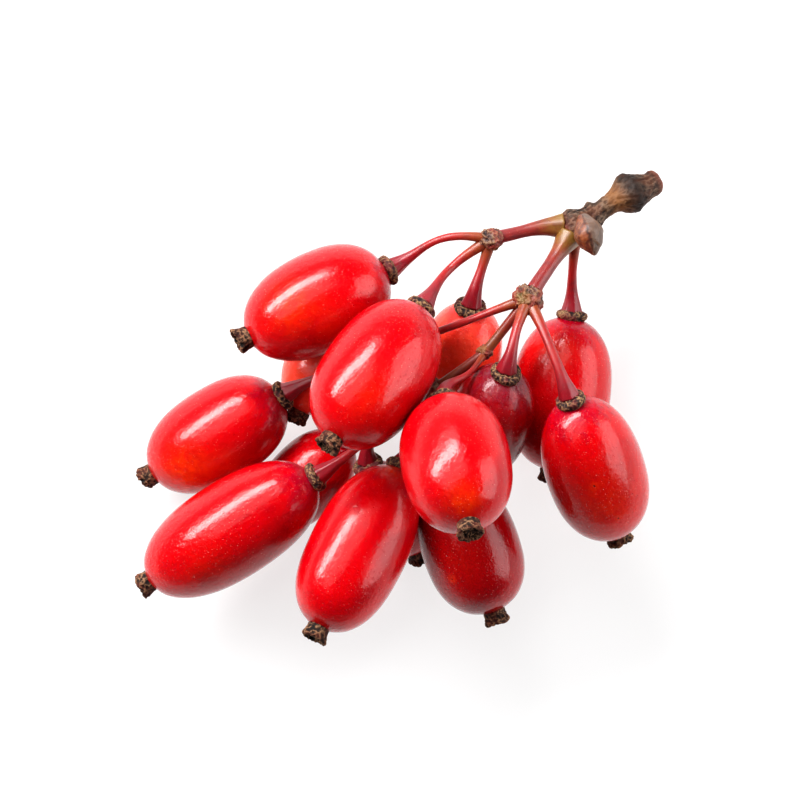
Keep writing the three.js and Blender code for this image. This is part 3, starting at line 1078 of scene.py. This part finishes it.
studio = {
    "floorSize": 1.6,
    "floorColour": (0.28, 0.28, 0.28, 1),
    "floorGlow": 0.62,
    "worldOverhead": 0.05,
    "worldRound": 0.22,
    "cameraHeight": 200 * mm,
    "fieldWidth": 50 * mm,
    "fieldHeight": 4 * mm,  # height above the table where the field is that wide
    "cameraShift": (0.018 * mm, 0.175 * mm),
}
# each softbox: degrees round from +X, degrees off straight up, distance, across, along, power
softboxes = {
    "strip": (130, 51, 180, 42, 220, 0.68),
    "panel": (130, 27, 190, 120, 230, 0.15),
    "side": (5, 64, 170, 120, 190, 0.25),
}


def buildFloor():
    half = studio["floorSize"] / 2
    mesh = bpy.data.meshes.new("floor")
    corners = [(-half, -half, 0), (half, -half, 0), (half, half, 0), (-half, half, 0)]
    mesh.from_pydata(corners, [], [(0, 1, 2, 3)])
    floor = bpy.data.objects.new("floor", mesh)
    bpy.context.scene.collection.objects.link(floor)
    material, tree, shader = newMaterial("paleTable", {
        "Base Color": studio["floorColour"],
        "Roughness": 0.9,
        "Specular IOR Level": 0.0,
        "Emission Color": (1, 1, 1, 1),
        "Emission Strength": studio["floorGlow"],
    })
    mesh.materials.append(material)


def buildSoftbox(name, azimuth, tilt, distance, across, along, power):
    light = bpy.data.lights.new(name, "AREA")
    light.shape = "RECTANGLE"
    light.size = across * mm
    light.size_y = along * mm
    light.energy = power
    box = bpy.data.objects.new(name, light)
    turn = math.radians(azimuth)
    lean = math.radians(tilt)
    outward = Vector((math.cos(turn) * math.sin(lean), math.sin(turn) * math.sin(lean), math.cos(lean)))
    box.location = outward * distance * mm
    # its short side points away from straight up
    level = Vector((-math.sin(turn), math.cos(turn), 0))
    steep = level.cross(outward)
    box.matrix_world = Matrix((
        (steep.x, level.x, outward.x, box.location.x),
        (steep.y, level.y, outward.y, box.location.y),
        (steep.z, level.z, outward.z, box.location.z),
        (0, 0, 0, 1),
    ))
    box.visible_camera = False
    bpy.context.scene.collection.objects.link(box)


def buildCamera():
    data = bpy.data.cameras.new("camera")
    distance = studio["cameraHeight"] - studio["fieldHeight"]
    data.lens = data.sensor_width * distance / studio["fieldWidth"]
    data.clip_start = 1 * mm
    camera = bpy.data.objects.new("camera", data)
    camera.location = (*studio["cameraShift"], studio["cameraHeight"])
    bpy.context.scene.collection.objects.link(camera)
    bpy.context.scene.camera = camera


def buildWorld():
    # white walls all round, dimmer overhead
    world = bpy.data.worlds.new("studio")
    world.use_nodes = True
    tree = world.node_tree
    split = tree.nodes.new("ShaderNodeSeparateXYZ")
    tree.links.new(tree.nodes.new("ShaderNodeTexCoord").outputs["Generated"], split.inputs[0])
    dimming = between(tree, split.outputs["Z"], 0.15, 0.5)
    change = studio["worldOverhead"] - studio["worldRound"]
    strength = maths(tree, "MULTIPLY_ADD", dimming, change, studio["worldRound"])
    background = tree.nodes["Background"]
    background.inputs["Color"].default_value = (1, 1, 1, 1)
    tree.links.new(strength, background.inputs["Strength"])
    bpy.context.scene.world = world


buildFloor()
for name, values in softboxes.items():
    buildSoftbox(name, *values)
buildWorld()
bpy.context.scene.view_settings.view_transform = "Standard"
bpy.context.scene.view_settings.look = "Medium High Contrast"
buildCamera()
print("studio ready")
